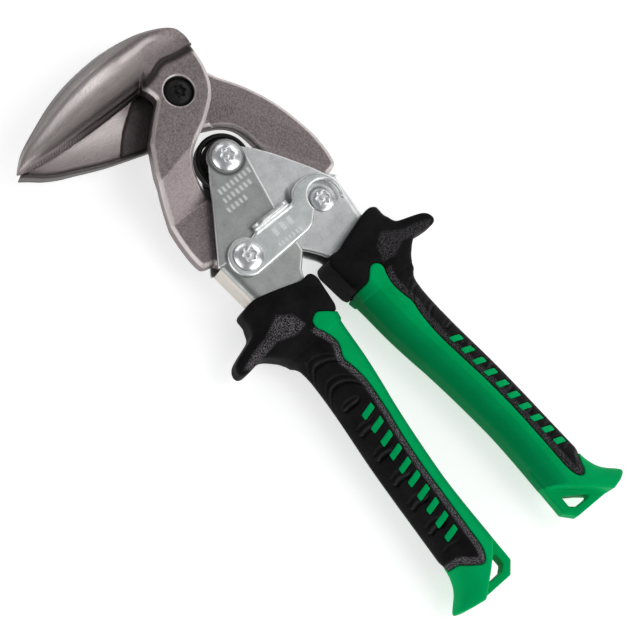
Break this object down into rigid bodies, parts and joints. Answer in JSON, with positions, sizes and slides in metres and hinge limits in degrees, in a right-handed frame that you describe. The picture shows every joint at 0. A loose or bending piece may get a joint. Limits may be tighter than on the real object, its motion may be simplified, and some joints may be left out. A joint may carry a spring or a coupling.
{
  "type": "aviation snips",
  "caption": "Right-angle compound-action aviation snips: domed blades set across two sprung channel handles with two-colour grips and a swinging latch.",
  "frame": {"origin": "on the handle pivot's axis, at the end face of the pivot bolt, which is the plane the tool lies on", "axes": "+Y from the handles to the head, +Z out of the front face (the side with the latch), +X to the right seen from the front; the blades point to -X"},
  "size_m": [0.1152, 0.2433, 0.0306],
  "materials": {
    "forged_steel": "fine-blasted forged tool steel, edges and dome polished by wear",
    "zinc_sheet": "folded sheet steel with dull zinc plating",
    "bright_zinc": "bright zinc-plated steel hardware",
    "latch_zinc": "stamped sheet steel with satin zinc plating",
    "black_oxide": "black oxide steel with a light oil sheen",
    "spring_steel": "black spring wire",
    "green_plastic": "satin moulded green plastic",
    "black_rubber": "soft black overmould with stippled bands and raised chevrons"
  },
  "bodies": {
    "left_handle": {"left_handle_frame": "zinc_sheet", "left_grip_sleeve": "green_plastic", "left_grip_overmold": "black_rubber", "handle_pivot_bolt": "bright_zinc", "handle_pivot_washer": "bright_zinc", "handle_pivot_nut": "bright_zinc", "left_link_bolt": "bright_zinc", "left_link_nut": "bright_zinc", "left_link_spacer_front": "bright_zinc", "left_link_spacer_rear": "bright_zinc", "latch_wave_washer": "bright_zinc", "spring_bushing": "black_oxide", "return_spring": "spring_steel"},
    "right_handle": {"right_handle_frame": "zinc_sheet", "right_grip_sleeve": "green_plastic", "right_grip_overmold": "black_rubber", "right_link_bolt": "bright_zinc", "right_link_nut": "bright_zinc"},
    "upper_jaw": {"upper_jaw": "forged_steel", "jaw_pivot_bolt": "black_oxide", "jaw_pivot_washer": "black_oxide", "jaw_pivot_nut": "black_oxide"},
    "lower_jaw": {"lower_jaw": "forged_steel"},
    "latch": {"latch": "latch_zinc"}
  },
  "joints": [
    {"name": "handle_hinge", "type": "hinge", "parent": "left_handle", "child": "right_handle", "pos_m": [0, 0, 0.012], "axis": [0, 0, 1], "range_deg": [0, 26], "deforming": ["return_spring"]},
    {"name": "upper_jaw_hinge", "type": "hinge", "parent": "left_handle", "child": "upper_jaw", "pos_m": [-0.019, -0.034, 0.012], "axis": [0, 0, 1], "range_deg": [0, 6.4]},
    {"name": "lower_jaw_hinge", "type": "hinge", "parent": "upper_jaw", "child": "lower_jaw", "pos_m": [0, 0.029, 0.0185], "axis": [0, 0, 1], "range_deg": [0, 13.6]},
    {"name": "latch_hinge", "type": "hinge", "parent": "left_handle", "child": "latch", "pos_m": [-0.019, -0.034, 0.021], "axis": [0, 0, 1], "range_deg": [0, 30]}
  ],
  "couplings": [
    {"joint": "upper_jaw_hinge", "follows": "handle_hinge", "ratio": 0.2415},
    {"joint": "lower_jaw_hinge", "follows": "handle_hinge", "ratio": 0.517}
  ]
}
